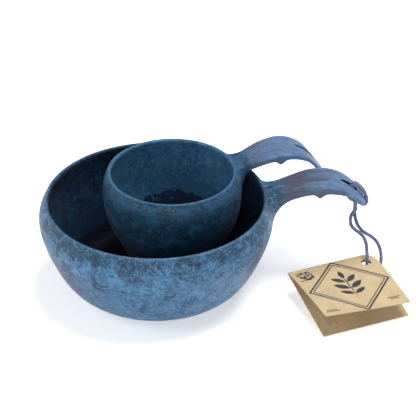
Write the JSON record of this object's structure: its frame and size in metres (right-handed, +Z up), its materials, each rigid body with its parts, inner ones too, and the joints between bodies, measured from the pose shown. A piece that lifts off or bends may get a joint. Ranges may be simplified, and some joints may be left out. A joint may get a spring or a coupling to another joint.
{
  "type": "kuksa bowl and cup set",
  "caption": "Round moulded bowl with a paddle handle, a smaller matching cup nested in it, and a folded card tag on a cord loop.",
  "frame": {"origin": "middle of the bowl's flat base, on the surface it stands on", "axes": "+X along the bowl's handle, +Y towards the side the cup sits on, +Z up"},
  "size_m": [0.2292, 0.1568, 0.0778],
  "materials": {
    "bowl_composite": "satin wood-fibre composite with light blue blotches over slate and navy",
    "cup_composite": "satin wood-fibre composite, dark teal with light blue blotches",
    "cord": "round waxed navy cord",
    "card": "uncoated kraft card with dark print"
  },
  "bodies": {
    "bowl": {"bowl": "bowl_composite", "cord_hitch": "cord"},
    "cup": {"cup": "cup_composite"},
    "hang_tag": {"cord_loop": "cord", "tag_lower": "card"},
    "tag_cover": {"tag_upper": "card"}
  },
  "joints": [
    {"name": "cup_lift", "type": "slide", "parent": "bowl", "child": "cup", "axis": [0, 0, 1], "range_m": [0, 0.12]},
    {"name": "tag_turn", "type": "hinge", "parent": "bowl", "child": "hang_tag", "pos_m": [0.1297, 0, 0.0442], "axis": [0, 0, 1], "range_deg": [-35, 150]},
    {"name": "cover_open", "type": "hinge", "parent": "hang_tag", "child": "tag_cover", "pos_m": [0.0815, -0.0277, 0.0149], "axis": [-0.965, -0.2622, 0], "range_deg": [-8, 10], "stiffness_Nm_per_rad": 0.02}
  ]
}
